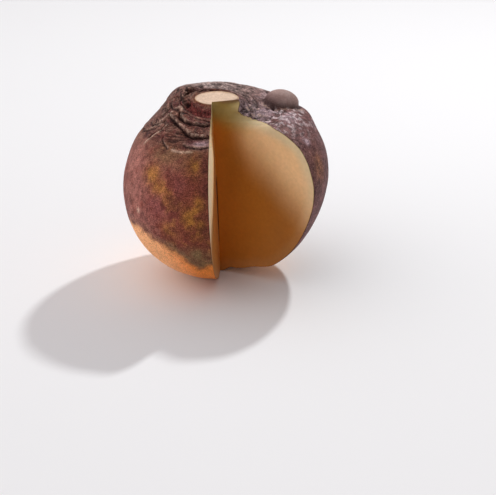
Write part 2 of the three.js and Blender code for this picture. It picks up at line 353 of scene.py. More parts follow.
class Relief:
    """How far each point of the skin moves out, where painted shade darkens it, and where it is
    pale or moat-coloured. The crown is everything above the shoulder but the stub's cut top."""

    def __init__(self, points, caps):
        self.points = points
        self.normals = skin_normals(points)
        self.crown = (points[..., 2] > 80) & (caps == 1)[None, :]
        self.out = np.zeros(points.shape[:2])
        # Painted shade, as a share from 0 to 1, for grooves, pits, cracks, gaps and the ring round
        # the bud
        self.painted_shade = np.zeros(points.shape[:2])
        self.pale = np.zeros(points.shape[:2])
        self.moat = np.zeros(points.shape[:2])
        direction, self.distance = crown_place(points)
        self.pitted = self.crown * spot(direction, self.distance, *PITTED_PATCH)
        self.lilac = spot(direction, self.distance, *LILAC_PATCH)
        # It changes slowly round the stub and fast outwards, so cracks made from it run round
        turn = np.radians(direction) * 30 / 3.2
        self.ring = np.stack([turn, self.distance * 1.6, points[..., 2] * 0.5], -1)

    # Adds painted shade, keeping the darker share at each point
    def add_painted_shade(self, amount, where=...):
        self.painted_shade[where] = np.maximum(self.painted_shade[where], amount)

    def whiten(self, amount, where=...):
        self.pale[where] = np.maximum(self.pale[where], amount)

    def line_on_skin(self, stops):
        """A close row of points on the crown through the stops."""
        angle = np.radians([direction for direction, _ in stops])
        distance = np.array([far for _, far in stops])
        flat = np.stack([CROWN_CENTRE[0] + distance * np.cos(angle),
                         CROWN_CENTRE[1] + distance * np.sin(angle)], 1)
        flat = catmull_rom(flat, 16)
        crown = self.points[self.crown]
        gap = ((crown[None, :, :2] - flat[:, None]) ** 2).sum(-1)
        return np.column_stack([flat, crown[gap.argmin(1), 2]])

    def beside(self, line, reach):
        """The crown points near a line, how far each lies outside it, and its fade at the ends."""
        near = self.crown & np.all(
            (self.points > line.min(0) - reach) & (self.points < line.max(0) + reach), axis=-1)
        gap = self.points[near][:, None] - line[None]
        nearest = (gap ** 2).sum(-1).argmin(1)
        gap = gap[np.arange(len(nearest)), nearest]
        tangent = np.gradient(line, axis=0)
        tangent = tangent / np.linalg.norm(tangent, axis=1, keepdims=True)
        across = np.cross(tangent[nearest], self.normals[near])
        middle = line.mean(0)
        outward = np.sign(((middle[:2] - CROWN_CENTRE) * np.cross(
            tangent, self.normals[near].mean(0))[len(line) // 2][:2]).sum())
        side = (gap * across).sum(-1) * outward
        along = nearest / (len(line) - 1)
        fade = smooth(0, 0.14, along) * (1 - smooth(0.86, 1, along))
        return near, side, fade

    def fold(self, stops, width, depth, lip, pale):
        """A shingle: its lip rises toward the line, and the skin drops away beyond it."""
        near, side, fade = self.beside(self.line_on_skin(stops), 9)
        here = self.points[near]
        side = side + 0.55 * noise(here, 3.6, 41) + 0.35 * noise(here, 1.4, 43)
        depth = depth * (0.85 + 0.5 * noise(here, 5, 47))
        groove = hill(side, 0.3 * width, 0.62 * width)
        crumble = 0.75 + 0.7 * noise(here, 1.7, 45)
        crest = hill(side, -1.1 * width, 0.8 * width) * crumble
        slope = np.exp(-np.maximum(side, 0) / (4 * width)) * smooth(0, width, side)
        self.out[near] += fade * (0.8 * lip * crest - 1.1 * depth * groove - 0.4 * depth * slope)
        # Painted shadow in the groove beyond the lip
        shadow = np.clip(1.3 * hill(side, 0.3 * width, 0.7 * width), 0, 1)
        self.add_painted_shade(fade * shadow, near)
        edge = hill(side, -0.9 * width, 0.65 * width) * np.clip(crumble, 0, 1)
        self.whiten(pale * fade * edge, near)

    def scar(self, stops, width, height, pale):
        near, side, fade = self.beside(self.line_on_skin(stops), 5)
        ridge = hill(side, 0, width)
        self.out[near] += fade * height * ridge
        self.whiten(pale * fade * ridge, near)

    def pit(self, direction, distance, radius, depth):
        line = self.line_on_skin([(direction, distance), (direction, distance + 0.2)])
        gap = np.linalg.norm(self.points - line[0], axis=-1)
        bowl = hill(gap, 0, radius) * self.crown
        rim = hill(gap, 1.7 * radius, 0.6 * radius) * self.crown
        self.out += 0.25 * depth * rim - depth * bowl
        # Painted shade darkens the bowl
        self.add_painted_shade(bowl)

    def dig_moat(self):
        near, side, fade = self.beside(self.line_on_skin(MOAT), 9)
        bowl = np.exp(-np.abs(side / MOAT_HALF_WIDTH) ** 3)
        self.out[near] -= fade * MOAT_DEPTH * bowl
        self.moat[near] = fade * np.exp(-np.abs((side + 1.2) / (MOAT_HALF_WIDTH * 1.25)) ** 4)


def back_folds(random):
    """Leaf-scar folds round the back, where nothing is known but their kind."""
    folds = []
    for distance in (21, 27, 33, 39, 45):
        direction = random.uniform(60, 80)
        while direction < 172:
            span = random.uniform(22, 46)
            bow = random.uniform(0.5, 2.5)
            stops = [(direction + span * t, distance + bow * math.sin(math.pi * t) - 1.5 * t)
                     for t in (0, 0.33, 0.66, 1)]
            depth = random.uniform(0.4, 1.0)
            folds.append((stops, random.uniform(0.5, 0.8), depth, 0.3 * depth, 0.4))
            direction += span + random.uniform(4, 12)
    return folds


def seat_bud(relief, on_bud, bud_gap):
    """Keeps the folds off the bud, and sinks a ring round it, darkened with painted shade, with a
    pale line below.
    """
    off_bud = 1 - smooth(0.05, 0.6, on_bud)
    relief.out *= off_bud
    relief.painted_shade *= off_bud
    relief.pale *= off_bud
    edge = hill(bud_gap, 0.5, 0.8)
    relief.out -= 1.0 * edge
    # Painted shade in the ring round the bud
    relief.add_painted_shade(0.75 * edge)
    below = 1 - smooth(12, 18, relief.points[..., 1])
    relief.whiten(hill(bud_gap, 2.2, 0.8) * below)
    return off_bud


def wrinkle_collar(relief, off_bud):
    """Uneven bark round the stub, broken by cracks that run round it and are darkened with painted
    shade.
    """
    points, far = relief.points, relief.distance
    collar = relief.crown * (1 - smooth(40, 52, far)) * smooth(14.4, 17, far)
    relief.out += collar * off_bud * (0.42 * layered_noise(relief.ring, 4.5, 3, 11))
    relief.out += collar * off_bud * 0.22 * layered_noise(points, 2.6, 2, 17)
    collar = collar * (1 - 0.85 * relief.lilac)
    near_crack = smooth(0.1, 0.0, np.abs(layered_noise(relief.ring, 5.5, 3, 19)))
    crack = near_crack * collar * off_bud
    relief.out -= 0.55 * crack
    # Painted shade in the cracks
    relief.add_painted_shade(0.8 * crack)
    return collar


def crumble_patch(relief):
    """The crumbled, pitted bark beside the stub, with gaps darkened by painted shade only in its
    inner part.
    """
    points, patch = relief.points, relief.pitted
    relief.out += patch * (1 - 0.7 * relief.lilac) * 0.7 * layered_noise(points, 2.4, 2, 23)
    cells = np.abs(layered_noise(points, 4.2, 2, 29))
    gaps = smooth(0.15, 0.0, cells) * np.clip(1.4 * patch, 0, 1)
    gaps = gaps * (1 - smooth(25, 31, relief.distance))
    relief.out -= 0.8 * gaps
    relief.add_painted_shade(0.95 * gaps)
    relief.whiten(0.6 * patch * smooth(0.25, 0.45, cells))


def make_relief(points, caps, on_bud, bud_gap):
    relief = Relief(points, caps)
    relief.dig_moat()
    for fold in FOLDS + back_folds(np.random.default_rng(RANDOM_SEED)):
        relief.fold(*fold)
    for scar in SCARS:
        relief.scar(*scar)
    for pit in PITS:
        relief.pit(*pit)

    off_bud = seat_bud(relief, on_bud, bud_gap)
    collar = wrinkle_collar(relief, off_bud)
    crumble_patch(relief)
    body = (caps == 1)[None, :] * smooth(0.5, 6, points[..., 2])
    relief.out += body * (0.45 * noise(points, 24, 31) + 0.16 * layered_noise(points, 7, 3, 37))
    relief.collar = collar * off_bud * (1 - 0.8 * np.clip(relief.painted_shade, 0, 1))
    return relief


def move_out(points, direction, relief):
    """Moves every point within its own upright plane, so the cut edges stay in theirs."""
    angle = np.radians(direction)
    sideways = np.stack([-np.sin(angle), np.cos(angle), 0 * angle], -1)
    way = relief.normals - sideways * (relief.normals * sideways).sum(-1, keepdims=True)
    return points + way * relief.out[..., None]


def face_grid(rim, crease, bend):
    """A cut face between the crease's points and one edge of the skin, closer set at both. It
    swells sideways by bend, most where the outer strip begins."""
    t = np.linspace(0, 1, FACE_COLUMNS + 1)
    share = (t - 0.82 * np.sin(2 * math.pi * t) / (2 * math.pi))[:, None, None]
    eased = rim.copy()
    for _ in range(NECK_EASING):
        eased[1:-1] = (eased[:-2] + 2 * eased[1:-1] + eased[2:]) / 4
    held_rim = eased[None] + (rim - eased)[None] * smooth(0.55, 1, share)
    grid = crease[None] * (1 - share) + held_rim * share
    across = np.cross(rim - crease, (0, 0, 1.0))
    across = across / np.maximum(np.linalg.norm(across, axis=1, keepdims=True), 1e-6)
    wave = 0.22 * layered_noise(grid * (1, 1, 0.45), 13, 3, 53) + 0.05 * noise(grid, 2.2, 59)
    held = 4 * share[..., 0] * (1 - share[..., 0])
    width = np.maximum(np.linalg.norm(rim - crease, axis=1), 1e-6)
    knee = np.clip(1 - STRIP_WIDTH / width, 0.2, 1)
    inner, outer = share[..., 0] / knee, (1 - share[..., 0]) / (1 - knee + 1e-9)
    height = rim[:, 2]
    rise = bend * smooth(24, 84, height) * (1 - smooth(90, 108, height))
    turned = rise * np.minimum(np.minimum(inner, outer), 1)
    return grid + across[None] * (held * wave + turned)[..., None]


def quads(index, flip):
    a, b, c, d = index[:-1, :-1], index[1:, :-1], index[1:, 1:], index[:-1, 1:]
    faces = np.stack([a, b, c, d], -1).reshape(-1, 4)
    return faces[:, ::-1] if flip else faces


# ---- Colours, as reflected shares of red, green and blue ----
MAROON = (0.21, 0.05, 0.035)
WINE = (0.13, 0.03, 0.03)
PURPLE = (0.36, 0.14, 0.11)
PLUM = (0.24, 0.065, 0.06)
DUSKY = (0.16, 0.08, 0.08)
MAUVE = (0.25, 0.17, 0.18)
OCHRE = (0.37, 0.15, 0.035)
OLIVE = (0.22, 0.11, 0.055)
ORANGE = (0.95, 0.46, 0.21)
DEEP_ORANGE = (0.89, 0.27, 0.06)
GREY_GREEN = (0.22, 0.14, 0.075)
# Partly the skin's own lilac and partly painted sheen
LILAC_AND_SHEEN = (0.39, 0.27, 0.30)
PAPER = (0.56, 0.37, 0.28)
PALE_SCURF = (0.66, 0.54, 0.55)
# Partly the bark's own grey and partly painted rim light, at the back of the crown
BACK_GREY_AND_RIM_LIGHT = (0.55, 0.42, 0.39)
BARK = (0.16, 0.055, 0.04)
BUD_BROWN = (0.39, 0.26, 0.23)
# Near black, for painted shade in grooves, pits, cracks and gaps
CREVICE_SHADE = (0.02, 0.005, 0.005)
MOAT_RED = (0.20, 0.04, 0.035)

CORE = (0.86, 0.54, 0.27)
# The flesh's orange as painted shade darkens it, by the crease and low down
SHADED_CORE = (0.50, 0.17, 0.02)
CORTEX = (0.70, 0.56, 0.34)
NECK_OLIVE = (0.30, 0.20, 0.05)
# Painted light on the left cut's outer strip
LIT_STRIP_CREAM = (0.88, 0.66, 0.43)
# Painted shade along the lower half of the crease
CREASE_SHADE_BROWN = (0.10, 0.035, 0.01)
STUB_PALE = (0.78, 0.57, 0.42)
STUB_EDGE = (0.50, 0.30, 0.17)
RIND_LINE = (0.3, 0.26, 0.17)
STUB_SPECK = (11.8, 5.2, STUB_HEIGHT)

# Soft patches on the skin: direction and height of the middle, size in degrees and millimetres,
# colour and strength.
PATCHES = [
    (198, 84, 12, 12, PURPLE, 0.8),
    (205, 64, 12, 14, PURPLE, 0.7),
    (229, 93, 12, 5, OLIVE, 0.7),
    (224, 80, 7, 5, OCHRE, 0.9),
    (232, 74, 5, 4, OCHRE, 0.85),
    (256, 89, 4, 4, OCHRE, 0.8),
    (261, 69, 3, 4, OCHRE, 0.8),
    (254, 61, 4, 6, OCHRE, 0.8),
    (261, 56, 3, 4, OCHRE, 0.7),
    (241, 49, 5, 5, OCHRE, 0.7),
    (248, 78, 5, 6, PLUM, 0.7),
    (231, 62, 7, 7, PLUM, 0.7),
    (264, 90, 4, 6, WINE, 0.8),
    (265, 78, 3, 7, WINE, 0.8),
    (264, 52, 4, 5, WINE, 0.7),
    (246, 66, 5, 6, WINE, 0.6),
    (257, 34, 8, 5, GREY_GREEN, 0.8),
    (236, 40, 6, 4, WINE, 0.6),
    (216, 56, 1.4, 1.5, PAPER, 0.8),
    (239, 29, 1.2, 1.0, CREVICE_SHADE, 0.8),
    (340, 78, 5, 8, OCHRE, 0.35),
    (340, 94.6, 2, 1.6, LILAC_AND_SHEEN, 0.9),
    (70, 72, 14, 13, PURPLE, 0.6),
    (108, 58, 11, 11, OCHRE, 0.45),
    (128, 88, 14, 6, OLIVE, 0.6),
    (150, 74, 13, 12, PURPLE, 0.7),
    (166, 54, 8, 9, OCHRE, 0.5),
    (95, 44, 10, 8, WINE, 0.5),
    (35, 60, 12, 12, WINE, 0.4),
]

# Spots on the crown: direction and distance of the middle, and size in degrees and millimetres.
SCURFY_SHOULDER = (352, 42, 28, 14)
WINE_SPOT = (251, 42, 9, 1.9)
# Lilac spots, partly the skin's own lilac and partly painted sheen on lit edges, each with a
# strength
LILAC_AND_SHEEN_SPOTS = [((258, 44.5, 9, 2.6), 1), (LILAC_PATCH, 1.3), ((346, 47, 8, 5), 0.8)]

# How high the orange skin of the root end reaches, by direction.
ORANGE_REACH = [
    (-30, 12), (20, 16), (70, 26), (120, 34), (165, 38), (199, 41), (212, 44), (223, 42),
    (234, 35), (247, 29), (256, 23), (270, 27),
]

# Painted shade beside the left cut: how much red, green and blue the skin loses there.
SHADE_BESIDE_CUT = np.array((0.14, 0.12, 0.3))


def paint_background(points, direction, right, mottle, fine, streaks):
    """The purple skin: mottled maroon, ochre and wine, duskier on the right, then the patches."""
    z = points[..., 2]
    ochre = smooth(0.1, 0.55, mottle + 0.5 * fine) * (1 - 0.7 * right)
    colour = mix(MAROON, OCHRE, ochre * 0.7)
    colour = mix(colour, WINE, smooth(0.05, 0.5, -mottle + 0.5 * streaks) * 0.7)
    far_left = 1 - smooth(25, 60, np.abs(turn_between(direction, 195)))
    far_left = far_left * (1 - smooth(85, 100, z))
    colour = mix(colour, PURPLE, 0.55 * far_left * smooth(-0.4, 0.3, fine - mottle))
    colour = mix(colour, DUSKY, 0.8 * right)
    olive = smooth(78, 96, z) * np.clip(0.5 + 0.7 * fine, 0, 0.9) * (1 - right)
    colour = mix(colour, OLIVE, olive)
    for where, height, wide, high, patch, strength in PATCHES:
        middle = spot(direction, z, where, height, wide, high)
        ragged = np.clip(1.15 * middle * (1 + 1.0 * fine + 0.4 * mottle), 0, 1)
        colour = mix(colour, patch, strength * ragged)
    return colour


def paint_root_end(colour, z, direction, line, mottle, fine):
    """Orange skin below the line, with a grey-green border that is strongest by the notch."""
    green = 0.25 + 0.45 * smooth(225, 250, direction)
    colour = mix(colour, GREY_GREEN, green * hill(z, line + 3, 4))
    orange = mix(ORANGE, DEEP_ORANGE, smooth(222, 258, direction))
    orange = mix(orange, OCHRE, smooth(0, 0.9, fine + 0.5 * mottle) * 0.4)
    return mix(colour, orange, 1 - smooth(-4, 4, z - line))


def paint_collar(colour, points, turn, far, relief, mottle, fine):
    """Flaky bark round the stub, dusky on the right with lilac flakes that are partly painted
    sheen, and grey at the back, partly the bark's own grey and partly painted rim light.
    """
    collar = relief.crown * (1 - smooth(40, 54, far + 6 * mottle)) * smooth(14, 16, far)
    flake = smooth(-0.15, 0.5, layered_noise(points, 4.2, 3, 73) + 0.5 * fine)
    left = 1 - smooth(45, 75, np.abs(turn_between(turn, 222)))
    bark = mix(BARK, WINE, smooth(0, 0.5, -fine - mottle) * 0.7)
    bark = mix(bark, PAPER, flake * (0.3 - 0.12 * left))
    # Lilac on the right flakes is partly painted sheen
    dusky = mix(mix(DUSKY, BARK, 0.4), LILAC_AND_SHEEN, flake * 0.45)
    right_crown = 1 - smooth(40, 85, np.abs(turn_between(turn, 345)))
    colour = mix(colour, mix(bark, dusky, right_crown), collar * 0.85)
    # Grey at the back of the crown: partly the bark's own grey and partly painted rim light
    back = hill(turn_between(turn, 95), 0, 48) * smooth(20, 26, far) * relief.crown
    colour = mix(colour, BACK_GREY_AND_RIM_LIGHT, 0.85 * back * (1 - smooth(44, 56, far)))
    shoulder = spot(turn, far, *SCURFY_SHOULDER)
    colour = mix(colour, WINE, 0.45 * np.clip(shoulder, 0, 1) * smooth(-0.1, -0.4, fine))
    scurf = smooth(0.12, 0.3, layered_noise(points, 2.4, 2, 109) + 0.25 * flake)
    return mix(colour, PALE_SCURF, np.clip(1.2 * shoulder * scurf * relief.crown, 0, 0.9))


def paint_crown_spots(colour, points, turn, far, relief, on_bud, fine):
    """The wine spot, the lilac spots, which are partly painted sheen, the mauve pitted patch, and
    the bud, with painted shade on its lower left and painted light on its upper right.
    """
    wine = spot(turn, far, *WINE_SPOT) * relief.crown
    # Painted light on the bud's upper right and painted shade on its lower left
    bud_painted_light = smooth(-7, 5, points[..., 0] - BUD_MIDDLE[0] + points[..., 2] - BUD_MIDDLE[2])
    bud = mix(DUSKY, BUD_BROWN, 0.35 + 0.65 * bud_painted_light)
    # Lilac spots: partly the skin's own lilac and partly painted sheen
    lilac = sum(share * spot(turn, far, *place) for place, share in LILAC_AND_SHEEN_SPOTS)
    colour = mix(colour, MAUVE, np.clip(relief.pitted, 0, 0.85))
    colour = mix(colour, LILAC_AND_SHEEN, np.clip(lilac * relief.crown * (0.7 + 0.5 * fine), 0, 0.85))
    colour = mix(colour, WINE, np.clip(wine, 0, 1) * 0.8)
    return mix(colour, bud, smooth(0.1, 0.8, on_bud) * (0.9 + 0.1 * fine))


def paint_skin(points, direction, relief, on_bud):
    z = points[..., 2]
    turn, far = crown_place(points)
    right = 1 - smooth(55, 120, np.abs(turn_between(direction, 12)))
    mottle = layered_noise(points * (1, 1, 1.25), 15, 4, 61)
    fine = layered_noise(points, 3.4, 3, 67)
    streaks = layered_noise(points * (1.1, 1.1, 0.35), 5, 3, 71)

    where, reach = np.array(ORANGE_REACH).T
    line = np.interp(direction, where, reach) + 4 * mottle + 2.5 * fine + 2 * streaks
    colour = paint_background(points, direction, right, mottle, fine, streaks)
    colour = paint_root_end(colour, z, direction, line, mottle, fine)
    colour = paint_collar(colour, points, turn, far, relief, mottle, fine)
    colour = paint_crown_spots(colour, points, turn, far, relief, on_bud, fine)

    flaky = layered_noise(points, 1.5, 2, 113)
    pale = np.clip(relief.pale * (1.0 + 0.7 * fine + 0.8 * flaky), 0, 1)
    colour = mix(colour, PAPER, pale * 0.9)
    moat = mix(MOAT_RED, WINE, smooth(-0.2, 0.6, streaks))
    colour = mix(colour, moat, np.clip(relief.moat, 0, 1) * 0.95)
    # Painted shade: near black where the relief marks grooves, pits, cracks, gaps and the ring
    # round the bud
    colour = mix(colour, CREVICE_SHADE, np.clip(1.1 * relief.painted_shade, 0, 0.96))

    # Painted shade on the skin beside the left cut, below the neck
    cut_side_shade = smooth(236, 262, direction) * (1 - smooth(92, 100, z))
    colour = colour * (1 - cut_side_shade[..., None] * SHADE_BESIDE_CUT)
    grain = 0.3 * fine + 0.5 * layered_noise(points, 1.3, 2, 79) + 0.2 * streaks
    root_end = 1 - smooth(-4, 4, z - line)
    grain = grain * (1 - 0.6 * root_end) * (1 + 0.5 * right) * (1 - smooth(0.0, 0.4, on_bud))
    return np.clip(colour * (1 + grain)[..., None], 0.004, 1)


def paint_stub(points, caps):
    """The pale granular cut end of the stub, with a brown edge."""
    grain = layered_noise(points, 1.6, 3, 83)
    edge = smooth(0.84, 1.0, caps)[None, :] + 0.5 * grain
    colour = mix(STUB_PALE, STUB_EDGE, smooth(0.35, 1.0, edge))
    speck = np.linalg.norm(points - STUB_SPECK, axis=-1)
    colour = mix(colour, BARK, 0.8 * (1 - smooth(0.8, 2.6, speck + grain)))
    return np.clip(colour * (1 + 0.22 * grain + 0.08 * noise(points, 6, 89))[..., None], 0.004, 1)


def paint_flesh(points, depth):
    """The flesh's colour with painted shade: deep orange by the crease and low down, paler
    outwards, and darker up and away from the crease. A yellow-green band under the skin fades
    toward the root, olive goes up in the neck, and painted light brightens the flesh beside the
    crease."""
    cloud = layered_noise(points * (1, 1, 0.5), 16, 3, 97)
    fibres = layered_noise(points * (1, 1, 0.25), 3.0, 2, 101)
    z = points[..., 2]
    away = np.hypot(points[..., 0] - crease_x(z), points[..., 1])
    pale = smooth(-26, 26, away - 29 - 1.15 * (80 - z) + 4 * cloud) * smooth(8, 28, away)
    # Painted shade: the flesh turns a deep, darker orange by the crease and low down
    colour = mix(SHADED_CORE, CORE, pale)
    # More painted shade, up and away from the crease, where the flesh is not pale
    shade = 0.20 * smooth(40, 85, z) * smooth(2, 14, away) + 0.22 * smooth(25, 50, away)
    shade = 1 - shade * (1 - pale)
    colour = colour * shade[..., None]
    band = 1 - smooth(2.0, 8.5, depth + 1.0 * cloud)
    colour = mix(colour, CORTEX, band * (0.08 + 0.85 * smooth(34, 94, z)))
    neck = smooth(97, 109, z + 0.25 * away) * (1 - smooth(12, 34, away))
    colour = mix(colour, NECK_OLIVE, neck * 0.9)
    crust = smooth(111.5, 113.6, z) * smooth(3, 8, away)
    colour = mix(colour, BARK, 0.55 * crust)
    # Painted light, strongest at the crease and gone within a few millimetres, but not in the neck
    crease_painted_light = 1 + 0.25 * np.exp(-away / 8) * (1 - neck)
    colour = colour * crease_painted_light[..., None]
    return np.clip(colour * (1 + 0.06 * cloud + 0.05 * fibres)[..., None], 0.004, 1)


def paint_left_cut_light(colour, depth, z):
    """The left cut is tinted a little toward the cortex and brightened with painted light, and its
    outer strip is painted cream as painted light from the lamp.
    """
    # Painted light over the whole left cut
    colour = mix(colour, CORTEX, 0.1) * 1.2
    # Painted light on the outer strip: narrow low down, wide higher up, and fading into the neck
    wide = 0.15 + 0.85 * smooth(15, 75, z)
    strip = 1 - smooth(2.8, 4.6, depth / wide)
    strip = strip * smooth(18, 50, z) * (1 - 0.6 * smooth(90, 106, z))
    return np.clip(mix(colour, LIT_STRIP_CREAM, 0.95 * strip), 0, 1)


def distance_to(points, rim):
    flat = points.reshape(-1, 3)
    nearest = [np.sqrt(((block[:, None] - rim[None]) ** 2).sum(-1)).min(1)
               for block in np.array_split(flat, 40)]
    return np.concatenate(nearest).reshape(points.shape[:-1])


# ---- The mesh ----
SKIN_SLOT, FLESH_SLOT, STUB_SLOT = 0, 1, 2

# The texture: the skin fills its upper part, and each cut face half of the strip below. Sizes are
# shares of the texture, and the reaches are what a face's share stands for, in millimetres.
MAP_EDGE = 0.01
SKIN_MAP_FOOT = 0.27
FACE_MAP_SIZE = (0.47, 0.24)
FACE_REACH = (75, 125)
LEFT_FACE_EDGE, RIGHT_FACE_EDGE = MAP_EDGE, 0.51


def skin_map(columns, rows, along):
    """Where the skin's points go on the texture."""
    across = np.linspace(MAP_EDGE, 1 - MAP_EDGE, columns)[:, None] + np.zeros((1, rows))
    up = SKIN_MAP_FOOT + (1 - MAP_EDGE - SKIN_MAP_FOOT) * along[None, :] + np.zeros((columns, 1))
    return np.stack([across, up], -1)


def face_map(grid, left_edge):
    """Where a cut face's points go on the texture, out from the crease and up."""
    away = np.hypot(grid[..., 0] - crease_x(grid[..., 2]), grid[..., 1])
    across = left_edge + away / FACE_REACH[0] * FACE_MAP_SIZE[0]
    return np.stack([across, MAP_EDGE + grid[..., 2] / FACE_REACH[1] * FACE_MAP_SIZE[1]], -1)


class MeshParts:
    """The body's vertices with what each carries, and its faces with their slots and places on
    the texture."""

    def __init__(self):
        self.vertices = []
        self.skin_colours = []
        self.cut_colours = []
        self.depths = []
        self.face_blocks = []
        self.count = 0

    def add_vertices(self, points, skin_colour, cut_colour, depth):
        """Adds the points and gives back their numbers, as a grid of the same shape."""
        self.vertices.append(points.reshape(-1, 3))
        self.skin_colours.append(skin_colour.reshape(-1, 3))
        self.cut_colours.append(cut_colour.reshape(-1, 3))
        self.depths.append(depth.reshape(-1))
        index = np.arange(self.count, self.count + depth.size).reshape(depth.shape)
        self.count += depth.size
        return index

    def add_faces(self, index, slots, places, flip):
        """Adds a grid's faces; slots is one number, or one for each face."""
        faces = quads(index, flip)
        corners = quads(np.arange(index.size).reshape(index.shape), flip)
        slots = np.broadcast_to(slots, len(faces))
        self.face_blocks.append((faces, slots, places.reshape(-1, 2)[corners]))

    def joined_faces(self):
        """All faces as lists, without the corners that fall together at the crease's ends."""
        faces, slots, places = [], [], []
        for block in self.face_blocks:
            for face, slot, place in zip(*(part.tolist() for part in block)):
                kept = [k for k in range(4) if face[k] not in face[:k]]
                if len(kept) > 2:
                    faces.append([face[k] for k in kept])
                    slots.append(slot)
                    places.extend(place[k] for k in kept)
        return faces, slots, places


def crease_points(left_rim):
    """The crease's points, which climb in step with the rim of the left cut."""
    length = np.linalg.norm(np.diff(left_rim, axis=0), axis=1)
    climb = np.r_[0, np.cumsum(length)] / length.sum()
    height = climb * STUB_HEIGHT
    return np.stack([crease_x(height), 0 * climb, height], 1), climb


def add_skin(parts, skin, base, caps, climb, colour):
    """The skin and the stub's cut top, which is painted with the cut faces' colours."""
    stub_top = slice(len(caps) - TOP_ROWS - 1, len(caps))
    cut_colour = colour.copy()
    cut_colour[:, stub_top] = paint_stub(base[:, stub_top], caps[stub_top])
    index = parts.add_vertices(skin, colour, cut_colour, np.zeros(skin.shape[:2]))
    index[:, 0] = index[0, 0]
    index[:, -1] = index[0, -1]
    columns, rows = index.shape
    row = np.tile(np.arange(rows - 1), columns - 1)
    slots = np.where(row >= rows - TOP_ROWS - 1, STUB_SLOT, SKIN_SLOT)
    parts.add_faces(index, slots, skin_map(columns, rows, climb), False)
    return index


def add_crease(parts, crease, rims, ends):
    """The crease, with a dark brown line of painted shade along its lower half."""
    depth = distance_to(crease[None], rims)[0]
    # Painted shade along the lower half of the crease
    crease_shade = 0.9 * smooth(17, 24, crease[:, 2]) * (1 - smooth(60, 68, crease[:, 2]))
    colour = mix(paint_flesh(crease[None], depth[None])[0], CREASE_SHADE_BROWN, crease_shade)
    index = parts.add_vertices(crease, np.tile(CORE, (len(crease), 1)), colour, depth)
    index[0], index[-1] = ends
    return index, crease_shade


def add_cut_face(parts, grid, rims, crease_index, rim_index, left, crease_shade):
    depth = distance_to(grid, rims)
    colour = paint_flesh(grid, depth)
    if left:
        colour = paint_left_cut_light(colour, depth, grid[..., 2])
    else:
        # The crease's painted shade, carried onto the right cut's first row
        colour[1] = mix(colour[1], CREASE_SHADE_BROWN, crease_shade)
    index = np.empty(grid.shape[:2], int)
    index[0], index[-1] = crease_index, rim_index
    index[1:-1] = parts.add_vertices(grid[1:-1], colour[1:-1], colour[1:-1], depth[1:-1])
    index[:, 0], index[:, -1] = rim_index[0], rim_index[-1]
    places = face_map(grid, LEFT_FACE_EDGE if left else RIGHT_FACE_EDGE)
    parts.add_faces(index, FLESH_SLOT, places, left)


def shift_into_frame(points):
    """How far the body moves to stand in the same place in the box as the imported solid."""
    lower, upper = np.array([*node_low]) / MM, np.array([*node_high]) / MM
    low, high = points.min(0), points.max(0)
    return np.array([*((lower + upper) / 2 - (low + high) / 2)[:2], lower[2] - low[2]])


def add_attribute(mesh, name, kind, values):
    field = {"FLOAT_COLOR": "color", "FLOAT_VECTOR": "vector", "FLOAT": "value"}[kind]
    mesh.attributes.new(name, kind, "POINT").data.foreach_set(field, np.ravel(values))


def make_mesh(parts, points, relief, grain):
    """The mesh, whose points also carry the colours and values that the materials read."""
    faces, slots, places = parts.joined_faces()
    used = np.unique(np.concatenate(faces))
    renumber = np.full(len(points), -1)
    renumber[used] = np.arange(len(used))
    mesh = bpy.data.meshes.new("rutabaga_visual")
    mesh.from_pydata((points[used] * MM).tolist(), [], [renumber[f].tolist() for f in faces])
    mesh.polygons.foreach_set("material_index", slots)
    mesh.polygons.foreach_set("use_smooth", [True] * len(slots))
    mesh.uv_layers.new(name="OFBake").data.foreach_set("uv", np.ravel(places))

    opaque = np.ones(len(used))
    for name, colours in (("skin_colour", parts.skin_colours), ("cut_colour", parts.cut_colours)):
        values = np.column_stack([np.vstack(colours)[used], opaque])
        add_attribute(mesh, name, "FLOAT_COLOR", values)
    off_skin = np.zeros(len(points) - grain.size)
    ring = np.vstack([relief.ring.reshape(-1, 3), np.zeros((off_skin.size, 3))])
    add_attribute(mesh, "ring", "FLOAT_VECTOR", ring[used] * MM)
    add_attribute(mesh, "collar", "FLOAT", np.r_[relief.collar.ravel(), off_skin][used])
    add_attribute(mesh, "grain", "FLOAT", np.r_[grain.ravel(), off_skin][used])
    add_attribute(mesh, "depth", "FLOAT", np.concatenate(parts.depths)[used])
    mesh.update()
    return mesh


def build_body():
    base, caps, direction, on_bud, bud_gap = skin_grid()
    relief = make_relief(base, caps, on_bud, bud_gap)
    skin = move_out(base, direction, relief)
    skin[:, caps < 1] = base[:, caps < 1]
    top = slice(len(caps) - TOP_ROWS, len(caps) - 1)
    skin[1:-1, top, 2] += 0.16 * layered_noise(base[1:-1, top], 1.8, 2, 103)

    crease, climb = crease_points(skin[-1])
    parts = MeshParts()
    colour = paint_skin(skin, direction, relief, on_bud)
    skin_index = add_skin(parts, skin, base, caps, climb, colour)
    rims = np.vstack([skin[column][:len(caps) - TOP_ROWS] for column in (-1, 0)])
    ends = skin_index[0, 0], skin_index[0, -1]
    crease_index, crease_shade = add_crease(parts, crease, rims, ends)
    for column, left, bend in ((-1, True, LEFT_BEND), (0, False, 0.0)):
        grid = face_grid(skin[column], crease, bend)
        add_cut_face(parts, grid, rims, crease_index, skin_index[column], left, crease_shade)

    points = np.vstack(parts.vertices)
    shift = shift_into_frame(points)
    grain = 1 - 0.7 * smooth(0.0, 0.5, on_bud)
    grain = grain * (1 - 0.4 * (1 - smooth(25, 42, skin[..., 2])))
    mesh = make_mesh(parts, points + shift, relief, grain)
    piece = bpy.data.objects.new("rutabaga_body", mesh)
    bpy.context.scene.collection.objects.link(piece)
    return piece, shift


